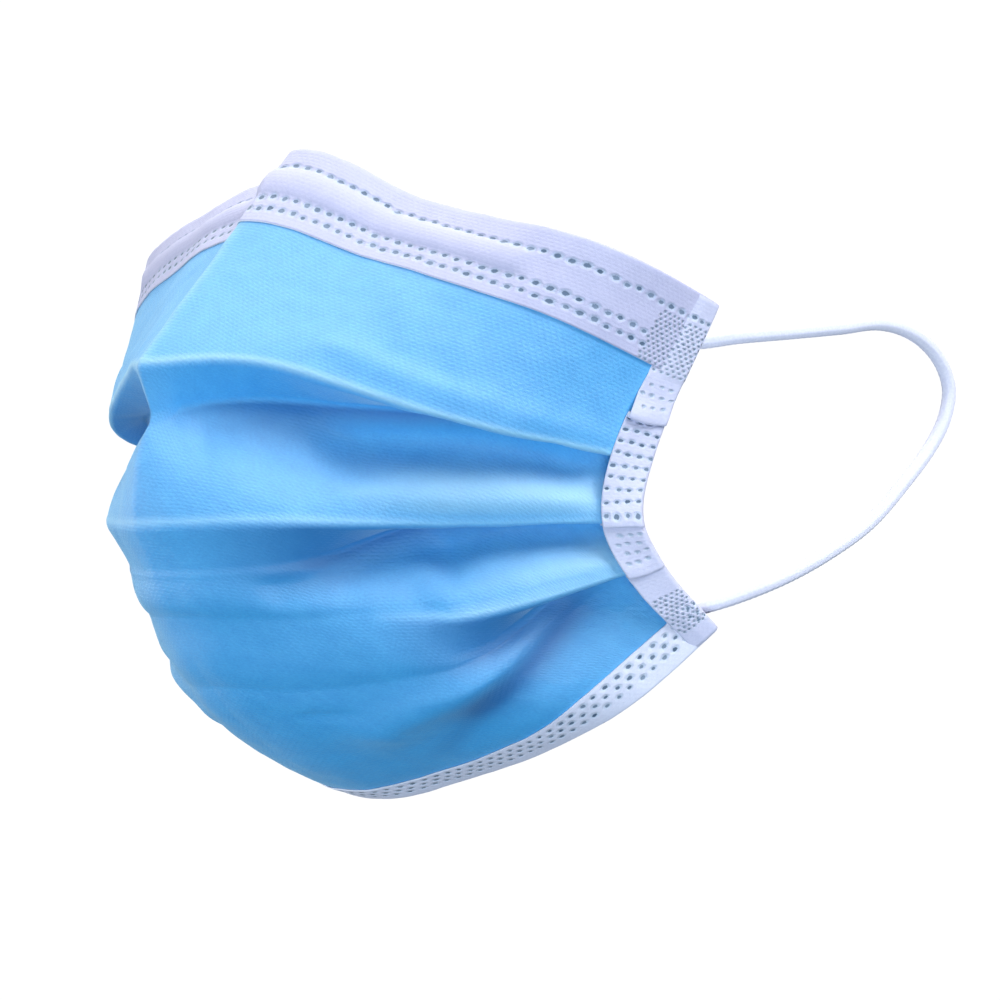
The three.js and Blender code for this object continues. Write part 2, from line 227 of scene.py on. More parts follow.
# Shares of HALF_SPAN outwards, of DEPTH back and of DROP down, at the middle, cheek, jaw and side;
# crease is how steeply the line turns back at the middle. The wearer's right half is worn a little
# differently: slack is added to its back and down shares, and pinch sinks it beside the nose.
LINES = [
    dict(crease=0.3, out=(0, 0.445, 0.92, 0.993), back=(-0.03, 0.145, 0.335, 0.986),
         down=(0.008, 0.101, 0.172, 0.251),
         slack_back=(0, -0.06, -0.02, 0), slack_down=(0, -0.028, -0.022, 0), pinch=4.5 * MM),
    dict(crease=0.72, out=(0, 0.28, 0.705, 0.94), back=(-0.895, -0.585, -0.15, 0.654),
         down=(0.338, 0.34, 0.424, 0.483),
         slack_back=(0, -0.02, -0.03, 0), slack_down=(0, 0, 0, 0), pinch=0.5 * MM),
    dict(crease=0.42, out=(0, 0.353, 0.636, 0.951), back=(-0.924, -0.628, -0.03, 0.57),
         down=(0.571, 0.567, 0.573, 0.568)),
    dict(crease=0, out=(0, 0.34, 0.696, 0.956), back=(-0.676, -0.38, 0.075, 0.685),
         down=(0.724, 0.728, 0.697, 0.63)),
    dict(crease=0, out=(0, 0.325, 0.785, 0.985), back=(0.43, 0.59, 0.66, 0.992),
         down=(1.003, 0.96, 0.86, 0.729)),
]
# Rows of vertices down each stretch of cloth, and how far it swells at the middle as a share of DEPTH
PANELS = [dict(rows=50, swell=0), dict(rows=22, swell=0.035), dict(rows=12, swell=0.02),
          dict(rows=44, swell=0.075)]
# The angle by which each pleat opens at the middle, and how round its edge and its crease are
PLEATS = [dict(open=60, ease=1.7, edge=1.4 * MM, crease=2.2 * MM),
          dict(open=41, ease=1.7, edge=1.4 * MM, crease=4 * MM),
          dict(open=-8, ease=2.8, edge=3 * MM, crease=5 * MM)]
RETURN_ROWS = 7
CORNER_ROWS = 4
# How briskly the lines run out at the middle, and where and how the other half is pinched
OUT_SLOPE = 1.15
PINCH_PLACE = 0.11
PINCH_DROP = 0.45


def through(values, share, first_slope=0.0):
    """A smooth value through the four columns, with its slope at the middle given."""
    values = np.array(values, float)
    slopes = np.zeros(4)
    slopes[0] = first_slope
    slopes[1:3] = (values[2:] - values[:2]) / (COLUMNS[2:] - COLUMNS[:2])
    slopes[3] = 1.5 * (values[3] - values[2]) / (COLUMNS[3] - COLUMNS[2]) - 0.5 * slopes[2]
    i = np.clip(np.searchsorted(COLUMNS, share, side="right") - 1, 0, 2)
    width = COLUMNS[i + 1] - COLUMNS[i]
    t = (share - COLUMNS[i]) / width
    return ((2 * t ** 3 - 3 * t ** 2 + 1) * values[i] + (t ** 3 - 2 * t ** 2 + t) * width * slopes[i]
            + (3 * t ** 2 - 2 * t ** 3) * values[i + 1] + (t ** 3 - t ** 2) * width * slopes[i + 1])


def line_points(line, station):
    """The points of one line at stations from -1 at one side edge to 1 at the other."""
    share = np.abs(station)
    right = station < 0
    back = through(line["back"], share, line["crease"])
    down = through(line["down"], share)
    pinch = 0
    if "pinch" in line:
        back = back + right * through(line["slack_back"], share)
        down = down + right * through(line["slack_down"], share)
        pinch = line["pinch"] * right * ((share / PINCH_PLACE) * np.exp(1 - share / PINCH_PLACE)) ** 2
        down = down + PINCH_DROP / DROP * pinch
    out = through(line["out"], share, line["out"][1] / COLUMNS[1] * OUT_SLOPE)
    return np.stack([np.sign(station) * out * HALF_SPAN, back * DEPTH + pinch, -down * DROP], axis=1)


def unit(vectors):
    """Vectors along the last axis, each made one long."""
    return vectors / np.maximum(np.linalg.norm(vectors, axis=-1, keepdims=True), 1e-12)


def grid_normals(grid):
    """Outward normals of a grid whose first axis runs along +X and whose second runs downwards."""
    return unit(np.cross(np.gradient(grid, axis=1), np.gradient(grid, axis=0)))


stations = np.linspace(-1, 1, PANEL_STATIONS)
share = np.abs(stations)[:, None]
closing = np.minimum(1, share / CLOSED_SHARE)
start = line_points(LINES[0], stations)
keys = [start]
corner_sizes = []
for k in range(3):
    end = line_points(LINES[k + 1], stations)
    reach = TANGENT_REACH + CREASE_EASE * (1 - np.abs(stations))
    tangent = unit(line_points(LINES[k + 1], stations + reach)
                   - line_points(LINES[k + 1], stations - reach))
    along = unit(end - start)
    inward = unit(np.cross(tangent, along))
    open_angle = PLEATS[k]["open"]
    angle = np.radians(open_angle + (CLOSED_ANGLE - open_angle) * closing ** PLEATS[k]["ease"])
    length = PLEAT_RETURN + (PLEAT_SIDE_RETURN - PLEAT_RETURN) * closing ** RETURN_EASE
    turn = along * np.cos(angle / 2) + inward * np.sin(angle / 2)
    back = along * np.cos(angle) + inward * np.sin(angle)
    fold_end = end + turn * PLEAT_LAYER
    crease = fold_end + back * length
    start = crease + turn * PLEAT_LAYER
    keys += [end, fold_end, crease, start]
    corner_sizes += [PLEATS[k]["edge"]] * 2 + [PLEATS[k]["crease"]] * 2
keys.append(line_points(LINES[4], stations))

# Each stretch between two corners is sampled evenly, and each corner is rounded
sections = []
row_panel = []
cuts_before = np.zeros((PANEL_STATIONS, 1))
for j in range(len(keys) - 1):
    a, b = keys[j], keys[j + 1]
    length = np.linalg.norm(b - a, axis=1, keepdims=True)
    direction = unit(b - a)
    if j < len(keys) - 2:
        next_length = np.linalg.norm(keys[j + 2] - b, axis=1, keepdims=True)
        cut = np.minimum(corner_sizes[j], CORNER_SHARE * np.minimum(length, next_length))
    else:
        cut = np.zeros_like(length)
    panel_index, place_in_pleat = divmod(j, 4)
    if place_in_pleat == 0:
        rows = PANELS[panel_index]["rows"]
    else:
        rows = RETURN_ROWS if place_in_pleat == 2 else 2
    for f in np.linspace(0, 1, rows):
        point = a + direction * (cuts_before + f * (length - cuts_before - cut))
        sections.append(point)
        row_panel.append((panel_index, f) if place_in_pleat == 0 else (-1, f))
    if j < len(keys) - 2:
        next_direction = unit(keys[j + 2] - b)
        for f in np.linspace(0, 1, CORNER_ROWS + 2)[1:-1]:
            sections.append((1 - f) ** 2 * (b - direction * cut) + 2 * f * (1 - f) * b
                            + f ** 2 * (b + next_direction * cut))
            row_panel.append((-1, f))
    cuts_before = cut
body = np.stack(sections, axis=1)

# The third pleat is drawn out flat at the middle, so the cloth below the second runs smooth to the chin
SMOOTH_LEAD = 10
SMOOTH_REACH = 0.62
SMOOTH_FADE = 0.3
SMOOTH_END_ROWS = 6
SMOOTH_PASSES = 160
first_smooth = max(row for row, (panel_index, _) in enumerate(row_panel) if panel_index == 2) - SMOOTH_LEAD
smooth_weight = 0.5 * np.clip((SMOOTH_REACH - np.abs(stations)) / SMOOTH_FADE, 0, 1)[:, None, None]
row_number = np.arange(first_smooth, body.shape[1])
from_ends = np.minimum(row_number - first_smooth, body.shape[1] - 1 - row_number)
smooth_weight = smooth_weight * np.clip(from_ends / SMOOTH_END_ROWS, 0, 1)[None, :, None]
for _ in range(SMOOTH_PASSES):
    lower = body[:, first_smooth:]
    even = np.pad(lower, ((0, 0), (1, 1), (0, 0)), mode="edge")
    lower += smooth_weight * ((even[:, :-2] + even[:, 2:]) / 2 - lower)

# Swell, folds and dents are moved along the cloth's normal. A ruck runs between two places, each a
# share across and a share down its stretch of cloth, with its width and height.
RUCKS = [
    dict(panel=0, a=(0.60, 0.35), b=(0.62, 0.75), width=22, height=-0.6),
    dict(panel=0, a=(0.45, 0.88), b=(0.92, 0.97), width=8, height=0.9),
    dict(panel=1, a=(0.50, 0.26), b=(0.98, 0.36), width=9, height=-3.2),
    dict(panel=1, a=(0.22, 0.26), b=(0.50, 0.50), width=10, height=-1.2),
    dict(panel=1, a=(0.50, 0.80), b=(0.98, 0.86), width=7, height=0.9),
    dict(panel=2, a=(0.30, 0.25), b=(0.62, 0.30), width=6, height=-1.4),
    dict(panel=2, a=(0.66, 0.30), b=(0.98, 0.34), width=5.5, height=-2.2),
    dict(panel=2, a=(0.62, 0.86), b=(0.98, 0.84), width=5, height=0.8),
    dict(panel=3, a=(0.68, 0.03), b=(0.34, 0.32), width=12, height=2.2),
    dict(panel=3, a=(0.82, 0.22), b=(0.52, 0.50), width=15, height=-1.3),
    dict(panel=3, a=(0.20, 0.19), b=(0.29, 0.19), width=3, height=-0.4),
]
# The other half buckles in nearly the same places, a little less
OTHER_HALF = 0.8
OTHER_SHIFT = 0.03
# How far down each stretch of cloth runs, and how the rucks and the fine waves fade out at the sides
PANEL_DROPS = (50 * MM, 17 * MM, 8 * MM, 44 * MM)
RUCKS_END = 0.97
RUCK_FADE = 0.1
SIDE_FADE = 0.14
WAVE_LENGTH = 14 * MM
WAVE_HEIGHT = 0.35 * MM


def ruck_lift(ruck, panel_share, down_share):
    """How far one ruck lifts the cloth at a place of its panel."""
    run = PANEL_DROPS[ruck["panel"]]
    u = panel_share * HALF_LENGTH
    w = down_share * run
    ua, wa = ruck["a"][0] * HALF_LENGTH, ruck["a"][1] * run
    ub, wb = ruck["b"][0] * HALF_LENGTH, ruck["b"][1] * run
    length = math.hypot(ub - ua, wb - wa)
    t = ((u - ua) * (ub - ua) + (w - wa) * (wb - wa)) / length ** 2
    past = np.maximum(0, np.abs(t - 0.5) - 0.5) * length
    offset = ((u - ua) * (wb - wa) - (w - wa) * (ub - ua)) / length
    width = ruck["width"] * MM / 2
    return ruck["height"] * MM * np.exp(-(offset / width) ** 2) * np.exp(-(past / (width * 1.4)) ** 2)


normals = grid_normals(body)
lift = np.zeros(body.shape[:2])
ruck_fade = np.clip((RUCKS_END - np.abs(stations)) / RUCK_FADE, 0, 1)
for row, (panel_index, f) in enumerate(row_panel):
    if panel_index < 0:
        continue
    fade = min(1, 6 * f, 5 * (1 - f)) if panel_index else min(1, 6 * f, 6 * (1 - f))
    lift[:, row] = PANELS[panel_index]["swell"] * DEPTH * (1 - stations ** 2) * 4 * f * (1 - f)
    for ruck in RUCKS:
        if ruck["panel"] == panel_index:
            other_lift = OTHER_HALF * ruck_lift(ruck, -stations - OTHER_SHIFT, f)
            lift[:, row] += fade * ruck_fade * (ruck_lift(ruck, stations, f) + other_lift)
side_fade = np.clip((1 - np.abs(stations)) / SIDE_FADE, 0, 1)
for i in range(body.shape[0]):
    for j in range(body.shape[1]):
        p = Vector(body[i, j] / WAVE_LENGTH)
        lift[i, j] += side_fade[i] * WAVE_HEIGHT * noise.fractal(p, 0.9, 2.1, 3)
body = body + normals * lift[:, :, None]


def cloth_object(name, grid, uv, thickness, outside, inside, marks=None):
    """A cloth wall made from a grid: its outside face on the grid, and thickened inwards. Marks are
    numbers kept with each vertex for the material."""
    columns, rows = grid.shape[:2]
    index = np.arange(columns * rows).reshape(columns, rows)
    quads = np.stack([index[:-1, :-1], index[:-1, 1:], index[1:, 1:], index[1:, :-1]], axis=-1)
    piece = mesh_object(name, grid.reshape(-1, 3), quads.reshape(-1, 4).tolist(), uv.reshape(-1, 2))
    for mark_name, mark in (marks or {}).items():
        layer = piece.data.attributes.new(mark_name, "FLOAT", "POINT")
        layer.data.foreach_set("value", mark.ravel().astype(np.float32))
    piece.data.materials.append(outside)
    piece.data.materials.append(inside)
    wall = piece.modifiers.new("wall", "SOLIDIFY")
    wall.thickness = thickness
    wall.offset = -1
    wall.material_offset = 1
    wall.material_offset_rim = 1
    bpy.context.view_layer.objects.active = piece
    bpy.ops.object.modifier_apply(modifier="wall")
    return piece


def cloth_uv(grid):
    """Each vertex's place on the cloth, in tenths of a metre: along from the middle, down from the top."""
    along = np.cumsum(np.linalg.norm(np.diff(grid, axis=0, prepend=grid[:1]), axis=2), axis=0)
    along -= along[len(grid) // 2]
    along = np.broadcast_to(along.mean(axis=1, keepdims=True), grid.shape[:2])
    down = np.cumsum(np.linalg.norm(np.diff(grid, axis=1, prepend=grid[:, :1]), axis=2), axis=1)
    return np.stack([along, down], axis=2) * UV_PER_METRE


def arithmetic(tree, operation, *values):
    """The result of one math node."""
    return add_node(tree, "ShaderNodeMath", dict(enumerate(values)), operation=operation).outputs[0]


def falling(tree, value, near, far):
    """1 up to near, falling smoothly to 0 at far."""
    return add_node(tree, "ShaderNodeMapRange",
                    {"Value": value, "From Min": near, "From Max": far, "To Min": 1.0, "To Max": 0.0},
                    interpolation_type="SMOOTHSTEP").outputs[0]


# Spunbond cloth: loose fibres pressed together by small staggered bond points
spunbond = bpy.data.node_groups.new("spunbond_cloth", "ShaderNodeTree")
spunbond.interface.new_socket("Place", in_out="INPUT", socket_type="NodeSocketVector")
spunbond.interface.new_socket("Tone", in_out="OUTPUT", socket_type="NodeSocketFloat")
spunbond.interface.new_socket("Height", in_out="OUTPUT", socket_type="NodeSocketFloat")
group_in = add_node(spunbond, "NodeGroupInput")
group_out = add_node(spunbond, "NodeGroupOutput")
place = group_in.outputs["Place"]
axes = add_node(spunbond, "ShaderNodeSeparateXYZ", {0: place})
BOND_PITCH = (1.3, 0.7)
BOND_REACH = (0.34, 0.3)
bond_math = partial(arithmetic, spunbond)
along_cells, down_cells = (bond_math("DIVIDE", axes.outputs[k], BOND_PITCH[k]) for k in range(2))
stagger = bond_math("MULTIPLY", bond_math("MODULO", bond_math("FLOOR", down_cells), 2.0), 0.5)
along_part, down_part = (bond_math("SUBTRACT", bond_math("FRACT", cells), 0.5)
                         for cells in (bond_math("ADD", along_cells, stagger), down_cells))
bond_reach = bond_math("ADD", *(bond_math("POWER", bond_math("DIVIDE", part, reach), 2.0)
                                for part, reach in zip((along_part, down_part), BOND_REACH)))
bond = falling(spunbond, bond_reach, 0.6, 1.3)
fibre_place = add_node(spunbond, "ShaderNodeVectorMath", {0: place, 1: (1.0, 1.9, 1.0)},
                       operation="MULTIPLY")
fibres = add_node(spunbond, "ShaderNodeTexNoise",
                  {"Vector": fibre_place.outputs[0], "Scale": 1.7, "Detail": 4.0, "Roughness": 0.7})
clouds = add_node(spunbond, "ShaderNodeTexNoise", {"Vector": place, "Scale": 0.35, "Detail": 3.0})
tone = bond_math("ADD", bond_math("MULTIPLY", fibres.outputs["Fac"], 0.75),
                 bond_math("MULTIPLY", clouds.outputs["Fac"], 0.25))
height = bond_math("SUBTRACT", bond_math("MULTIPLY", fibres.outputs["Fac"], 1.1),
                   bond_math("MULTIPLY", bond, 0.35))
spunbond.links.new(tone, group_out.inputs["Tone"])
spunbond.links.new(height, group_out.inputs["Height"])


MM_PER_UV = 1 / (UV_PER_METRE * MM)


def cloth_material(name, light, dark, relief=0.1 * MM, sheen=0.2, specular=0.5, sheen_tint=(1, 1, 1)):
    """Spunbond cloth between two tones, its pattern laid along the cloth. It keeps the sockets that later
    marks build on: its tone, and its place in millimetres."""
    material, shader, tree = principled(name, light, 0.6)
    shader.inputs["Sheen Weight"].default_value = sheen
    shader.inputs["Sheen Roughness"].default_value = 0.55
    shader.inputs["Sheen Tint"].default_value = (*sheen_tint, 1)
    shader.inputs["IOR"].default_value = 1.7
    shader.inputs["Specular IOR Level"].default_value = specular
    uv = add_node(tree, "ShaderNodeUVMap", uv_map="cloth").outputs[0]
    in_mm = add_node(tree, "ShaderNodeVectorMath", {0: uv, 1: (MM_PER_UV, MM_PER_UV, 0.0)},
                     operation="MULTIPLY").outputs[0]
    cloth = add_node(tree, "ShaderNodeGroup", node_tree=spunbond)
    tree.links.new(in_mm, cloth.inputs["Place"])
    spread = add_node(tree, "ShaderNodeMapRange",
                      {"Value": cloth.outputs["Tone"], "From Min": 0.35, "From Max": 0.65})
    tone = mixed(tree, spread.outputs[0], (*dark, 1), (*light, 1))
    tree.links.new(tone, shader.inputs["Base Color"])
    add_bump(tree, shader, cloth.outputs["Height"], 0.6, relief)
    return dict(material=material, shader=shader, tree=tree, place=in_mm, tone=tone)


blue_cloth = cloth_material("blue_spunbond", (0.06, 0.47, 0.93), (0.02, 0.33, 0.80), 0.15 * MM, 0.6,
                            specular=1.0, sheen_tint=(0.6, 0.88, 1.0))
blue_cloth["shader"].inputs["IOR"].default_value = 1.9
blue_cloth["shader"].inputs["Sheen Roughness"].default_value = 0.4
# Painted highlight: the edge of each pleat, where the cloth bends and catches the light, is painted paler,
# and so is the ridge over the nose. Painted shade: the cloth tucked in under each pleat is painted a
# deeper blue, which reaches furthest beside the nose under the first. Each row: the pleat, how pale its
# painted highlight is, and how far the painted shade reaches.
HIGHLIGHT_WIDTH = 0.7 * MM
PAINTED_HIGHLIGHT_TONE = (0.42, 0.76, 0.95, 1)
PAINTED_SHADE_TONE = (0.008, 0.17, 0.50, 1)
SHADE_STRENGTH = 0.85
SHADE_FADE = 1.5 * MM
PLEAT_HIGHLIGHT_AND_SHADE = ((0, 0.55, 4 * MM), (1, 0.28, 6.5 * MM), (2, 0.4, 4 * MM))
NOSE_SHADE = dict(reach=7 * MM, place=0.33, width=0.13)
NOSE_RIDGE_HIGHLIGHT = dict(strength=0.4, place=-1 * MM, width=1.8 * MM)
run_down = np.cumsum(np.linalg.norm(np.diff(body, axis=1, prepend=body[:, :1]), axis=2), axis=1)
painted_highlight = np.zeros(body.shape[:2])
painted_shade = np.zeros(body.shape[:2])
for panel_index, strength, shade_reach in PLEAT_HIGHLIGHT_AND_SHADE:
    last_row = max(row for row, (index, _) in enumerate(row_panel) if index == panel_index)
    past_edge = run_down - run_down[:, last_row + 2:last_row + 3]
    off_middle = np.ones(PANEL_STATIONS)
    if panel_index == 2:
        off_middle = np.clip((np.abs(stations) - 0.45) / 0.2, 0, 1)
    painted_highlight += strength * off_middle[:, None] * np.exp(-(past_edge / HIGHLIGHT_WIDTH) ** 2)
    next_row = min(row for row, (index, _) in enumerate(row_panel) if index == panel_index + 1)
    past_crease = run_down - run_down[:, next_row:next_row + 1]
    if panel_index == 0:
        off_place = (np.abs(stations) - NOSE_SHADE["place"]) / NOSE_SHADE["width"]
        shade_reach = shade_reach + NOSE_SHADE["reach"] * np.exp(-off_place ** 2)[:, None]
    shaded = np.clip(past_edge / SHADE_FADE, 0, 1) * np.clip(1 - past_crease / shade_reach, 0, 1) ** 1.2
    at_side = (np.clip((np.abs(stations) - 0.12) / 0.3, 0, 1)
               * np.clip((1.02 - np.abs(stations)) / 0.3, 0, 1))
    if panel_index == 0:
        shaded = shaded * np.clip(1 + past_crease / SHADE_FADE, 0.25, 1)
    painted_shade += SHADE_STRENGTH * (off_middle * at_side)[:, None] * shaded
# Painted highlight towards the sides, low on the second and third stretch: from what share out, over what
# share, and how strongly
SIDE_HIGHLIGHTS = {1: (0.42, 0.24, 0.42), 2: (0.62, 0.34, 0.5)}
# Painted shade: the hollows below the third pleat are painted a deeper blue too
SHADED_VALLEYS = [dict(panel=3, a=(0.80, 0.17), b=(0.56, 0.36), width=11, height=1.0 / MM),
           dict(panel=3, a=(0.56, 0.36), b=(0.40, 0.62), width=6, height=0.35 / MM)]
for row, (panel_index, f) in enumerate(row_panel):
    if panel_index in SIDE_HIGHLIGHTS:
        from_share, over, strength = SIDE_HIGHLIGHTS[panel_index]
        painted_highlight[:, row] += (strength * np.clip((f - 0.3) / 0.35, 0, 1) * min(1, 8 * (1 - f))
                              * np.clip((np.abs(stations) - from_share) / over, 0, 1))
    if panel_index == 3:
        painted_shade[:, row] += sum(ruck_lift(valley, np.abs(stations), f) for valley in SHADED_VALLEYS)
painted_shade = np.clip(painted_shade, 0, 1)
nose_rows = np.array([index == 0 for index, _ in row_panel])
off_ridge = (stations * HALF_LENGTH - NOSE_RIDGE_HIGHLIGHT["place"]) / NOSE_RIDGE_HIGHLIGHT["width"]
painted_highlight += NOSE_RIDGE_HIGHLIGHT["strength"] * np.exp(-off_ridge ** 2)[:, None] * nose_rows[None, :]
blue_tone = blue_cloth["tone"]
# Mixes the painted shade and then the painted highlight into the blue cloth's colour
for mark_name, mark_tone in (("painted_shade_mark", PAINTED_SHADE_TONE), ("painted_highlight_mark", PAINTED_HIGHLIGHT_TONE)):
    mark = add_node(blue_cloth["tree"], "ShaderNodeAttribute", attribute_name=mark_name).outputs["Fac"]
    blue_tone = mixed(blue_cloth["tree"], mark, blue_tone, mark_tone)
blue_cloth["tree"].links.new(blue_tone, blue_cloth["shader"].inputs["Base Color"])
lining = cloth_material("white_lining", (0.86, 0.87, 0.93), (0.78, 0.79, 0.88))
# The panel keeps the painted highlight and the painted shade as numbers on its vertices
face_panel = cloth_object("pleated_panel", body + grid_normals(body) * CLOTH / 2, cloth_uv(body), CLOTH,
                          blue_cloth["material"], lining["material"],
                          dict(painted_highlight_mark=painted_highlight, painted_shade_mark=painted_shade))
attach(face_panel, "root")
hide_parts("face_panel")


# Top hem: a white spunbond strip, folded over the top edge and welded through the panel in rows of
# dots. Between the rows it bulges over the flat nose wire.
HEM_CLOTH = 0.25 * MM
TOP_HEM = 15 * MM
HEM_TURN = 5 * MM
WIRE_END = 52 / 92
WIRE_DROP = 7 * MM
CHANNEL_HALF = 2.5 * MM
CHANNEL_RAISE = 0.85 * MM
HEM_GAP = 0.06 * MM
HEM_OFFSET = (CLOTH + HEM_CLOTH) / 2 + HEM_GAP
# At the nose the top strip's lower part reaches a little further down the cloth
NOSE_WIDENING = 3.2 * MM
NOSE_REACH = 0.22
NOSE_WIDENS_FROM = 4 * MM
NOSE_WIDEST = 1.4
body_normals = grid_normals(body)


def on_body(station, length, from_bottom):
    """Points and outward normals on the panel a length from its top or bottom edge, at stations."""
    place = (station + 1) / 2 * (PANEL_STATIONS - 1)
    low = np.clip(np.floor(place).astype(int), 0, PANEL_STATIONS - 2)
    part = (place - low)[:, None]

    def at(column):
        reach = run_down[column]
        widening = NOSE_WIDENING * math.exp(-(stations[column] / NOSE_REACH) ** 2)
        widening *= min(NOSE_WIDEST, max(0.0, (length - NOSE_WIDENS_FROM) / (TOP_HEM - NOSE_WIDENS_FROM)))
        want = reach[-1] - length if from_bottom else length + widening
        inside = np.clip(want, 0, reach[-1])
        point = np.array([np.interp(inside, reach, body[column, :, k]) for k in range(3)])
        normal = np.array([np.interp(inside, reach, body_normals[column, :, k]) for k in range(3)])
        if want != inside:
            end, before_end = (0, 2) if want < 0 else (-1, -3)
            past = body[column, end] - body[column, before_end]
            point = point + past / np.linalg.norm(past) * abs(want - inside)
        return point, normal

    columns = {c: at(c) for c in set(low) | set(low + 1)}
    points, normals = (np.array([columns[c][k] for c in low]) * (1 - part)
                       + np.array([columns[c + 1][k] for c in low]) * part for k in range(2))
    return points, unit(normals)


def strip_grid(station, profile, from_bottom=False):
    """A strip along an edge. Each row of the profile is a length from the edge, a height over the
    panel's middle surface, and how much of the wire's bulge it takes."""
    rows = []
    for length, height, bulge in profile:
        points, out = on_body(station, length, from_bottom)
        rows.append(points + out * (height + CHANNEL_RAISE * bulge * channel_share(station))[:, None])
    return np.stack(rows, axis=1)


def channel_share(station):
    """1 over the wire, falling to 0 past its ends."""
    past = (np.abs(station) - WIRE_END) * HALF_LENGTH
    return np.clip((6 * MM - past) / (5 * MM), 0, 1) ** 1.5


# Each hem's profile has its turned-back part, the bend round the edge, and its front
TURN_ROWS = 8
BEND_ROWS = 7
TOP_ROWS = 42
BEND = 1.2
turned_back = [(HEM_TURN * f, -HEM_OFFSET, 0) for f in np.linspace(1, 0.05, TURN_ROWS)]
turned_back += [(-HEM_OFFSET * math.cos(a), HEM_OFFSET * math.sin(a), 0)
                for a in np.linspace(-BEND, BEND, BEND_ROWS)]
top_profile = list(turned_back)
for f in np.linspace(0.03, 1, TOP_ROWS):
    bulge = max(0.0, 1 - ((f * TOP_HEM - WIRE_DROP) / CHANNEL_HALF) ** 2) ** 0.6
    top_profile.append((f * TOP_HEM, HEM_OFFSET, bulge))
HEM_STATIONS = 461
hem_stations = np.linspace(-1, 1, HEM_STATIONS)
top_grid = strip_grid(hem_stations, top_profile)
hem_cloth = cloth_material("white_hem", (0.54, 0.56, 0.78), (0.48, 0.50, 0.74))

# Ultrasonic welds: small oblong dents where the layers are melted together, in rows or grids. Each one is
# painted dark, partly for the blue panel showing through the thin melted cloth and partly as painted shade
# in the dent, with a cool tinge round it.
weld_grid = bpy.data.node_groups.new("weld_grid", "ShaderNodeTree")
weld_grid.interface.new_socket("Place", in_out="INPUT", socket_type="NodeSocketVector")
WELD_VALUES = ("Along Pitch", "Down Pitch", "Along Shift", "Down Shift", "Stagger", "Dot Along",
               "Dot Down", "Along From", "Along To", "Down From", "Down To", "Tone")
for value in WELD_VALUES:
    weld_grid.interface.new_socket(value, in_out="INPUT", socket_type="NodeSocketFloat")
weld_grid.interface.new_socket("Dot", in_out="OUTPUT", socket_type="NodeSocketFloat")
weld_grid.interface.new_socket("Dent", in_out="OUTPUT", socket_type="NodeSocketFloat")
weld_in = add_node(weld_grid, "NodeGroupInput")
weld_out = add_node(weld_grid, "NodeGroupOutput")
weld = {name: weld_in.outputs[name] for name in ("Place",) + WELD_VALUES}
weld_axes = add_node(weld_grid, "ShaderNodeSeparateXYZ", {0: weld["Place"]})
weld_math = partial(arithmetic, weld_grid)
rows_down = weld_math("DIVIDE", weld_math(
    "ADD", weld_axes.outputs[1], weld["Down Shift"]), weld["Down Pitch"])
row_number = weld_math("FLOOR", rows_down)
row_shift = weld_math("MULTIPLY", weld_math("FLOORED_MODULO", row_number, 2.0), weld["Stagger"])
cells_along = weld_math("ADD", weld_math("DIVIDE", weld_math(
    "ADD", weld_axes.outputs[0], weld["Along Shift"]), weld["Along Pitch"]), row_shift)
cell_number = weld_math("FLOOR", cells_along)
cell_key = add_node(weld_grid, "ShaderNodeCombineXYZ", {0: cell_number, 1: row_number})
chance = add_node(weld_grid, "ShaderNodeTexWhiteNoise", {"Vector": cell_key.outputs[0]},
                  noise_dimensions="3D")
chances = add_node(weld_grid, "ShaderNodeSeparateXYZ", {0: chance.outputs["Color"]})
wobble = add_node(weld_grid, "ShaderNodeTexNoise", {"Vector": weld["Place"], "Scale": 2.2, "Detail": 2.0})


def weld_offset(cells, number, pitch, size, slip):
    """How far along one axis a place is from its dot's middle, in halves of the dot's size."""
    from_middle = weld_math("SUBTRACT", weld_math("SUBTRACT", cells, number), 0.5)
    slipped = weld_math("ADD", from_middle, weld_math("MULTIPLY", weld_math("SUBTRACT", slip, 0.5), 0.14))
    grown = weld_math("MULTIPLY", size, weld_math("MULTIPLY_ADD", chances.outputs[2], 0.3, 0.85))
    return weld_math("DIVIDE", weld_math("MULTIPLY", slipped, pitch), weld_math("MULTIPLY", grown, 0.5))


off_along = weld_offset(cells_along, cell_number, weld["Along Pitch"], weld["Dot Along"],
                        chances.outputs[0])
off_down = weld_offset(rows_down, row_number, weld["Down Pitch"], weld["Dot Down"], chances.outputs[1])
dot_reach = weld_math("ADD", weld_math("SQRT", weld_math("ADD", weld_math("POWER", off_along, 2.0),
                                                         weld_math("POWER", off_down, 2.0))),
                      weld_math("MULTIPLY", weld_math("SUBTRACT", wobble.outputs["Fac"], 0.5), 0.9))
cell_along = weld_math("SUBTRACT", weld_math("MULTIPLY", weld_math("SUBTRACT", weld_math(
    "ADD", cell_number, 0.5), row_shift), weld["Along Pitch"]), weld["Along Shift"])
cell_down = weld_math("SUBTRACT", weld_math("MULTIPLY", weld_math(
    "ADD", row_number, 0.5), weld["Down Pitch"]), weld["Down Shift"])
inside = weld_math("MULTIPLY",
                   weld_math("MULTIPLY", weld_math("GREATER_THAN", cell_along, weld["Along From"]),
                             weld_math("LESS_THAN", cell_along, weld["Along To"])),
                   weld_math("MULTIPLY", weld_math("GREATER_THAN", cell_down, weld["Down From"]),
                             weld_math("LESS_THAN", cell_down, weld["Down To"])))
for output, near, far, strength in (("Dot", 0.75, 1.2, weld_math("MULTIPLY", weld["Tone"], weld_math(
        "MULTIPLY_ADD", chance.outputs["Value"], 0.3, 0.7))), ("Dent", 0.5, 2.4, 1.0)):
    core = falling(weld_grid, dot_reach, near, far)
    weld_grid.links.new(weld_math("MULTIPLY", weld_math("MULTIPLY", core, inside), strength),
                        weld_out.inputs[output])


DENT_SHARE = 0.45
DENT_TONE = (0.42, 0.66, 0.86, 1)
# Partly painted shade: this dark tone stands for the blue showing through each weld and for the shade in
# its dent
WELD_DOT_AND_SHADE_TONE = (0.045, 0.10, 0.19, 1)


